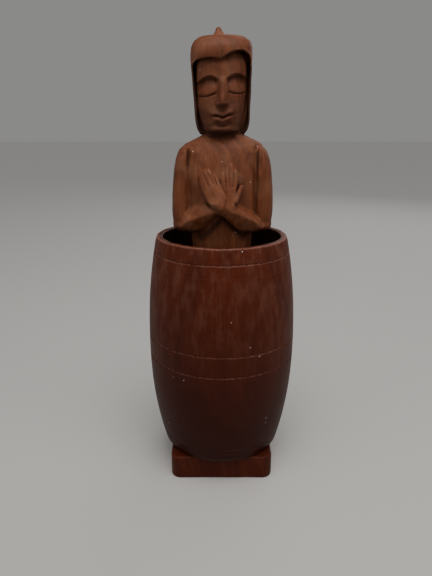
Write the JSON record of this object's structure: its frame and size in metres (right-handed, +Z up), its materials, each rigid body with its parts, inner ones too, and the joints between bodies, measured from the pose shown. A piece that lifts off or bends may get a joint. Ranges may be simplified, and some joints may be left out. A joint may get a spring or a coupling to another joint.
{
  "type": "carved wooden figure in a barrel",
  "caption": "Carved wooden figure with closed eyes and folded arms, standing in a lift-off turned wooden barrel on a square base block.",
  "frame": {"origin": "centre of the base block's underside", "axes": "+Z up along the barrel's axis, -Y the side that the figure faces, +X the figure's left"},
  "size_m": [0.104, 0.104, 0.3024],
  "materials": {
    "base_wood": "dark red-brown hardwood, thin satin varnish, worn at the edges",
    "figure_wood": "red-brown hardwood, knife-carved, dry and dusty, dark stain in the grooves",
    "barrel_wood": "dark red-brown hardwood, lathe-turned, satin varnish, worn pale on the rim",
    "screw_steel": "dull plated steel, slightly tarnished"
  },
  "bodies": {
    "stand": {"base_block": "base_wood", "figure": "figure_wood", "fixing_screws": "screw_steel"},
    "barrel": {"barrel": "barrel_wood"}
  },
  "joints": [
    {"name": "barrel_lift", "type": "slide", "parent": "stand", "child": "barrel", "axis": [0, 0, 1], "range_m": [0, 0.29]}
  ]
}
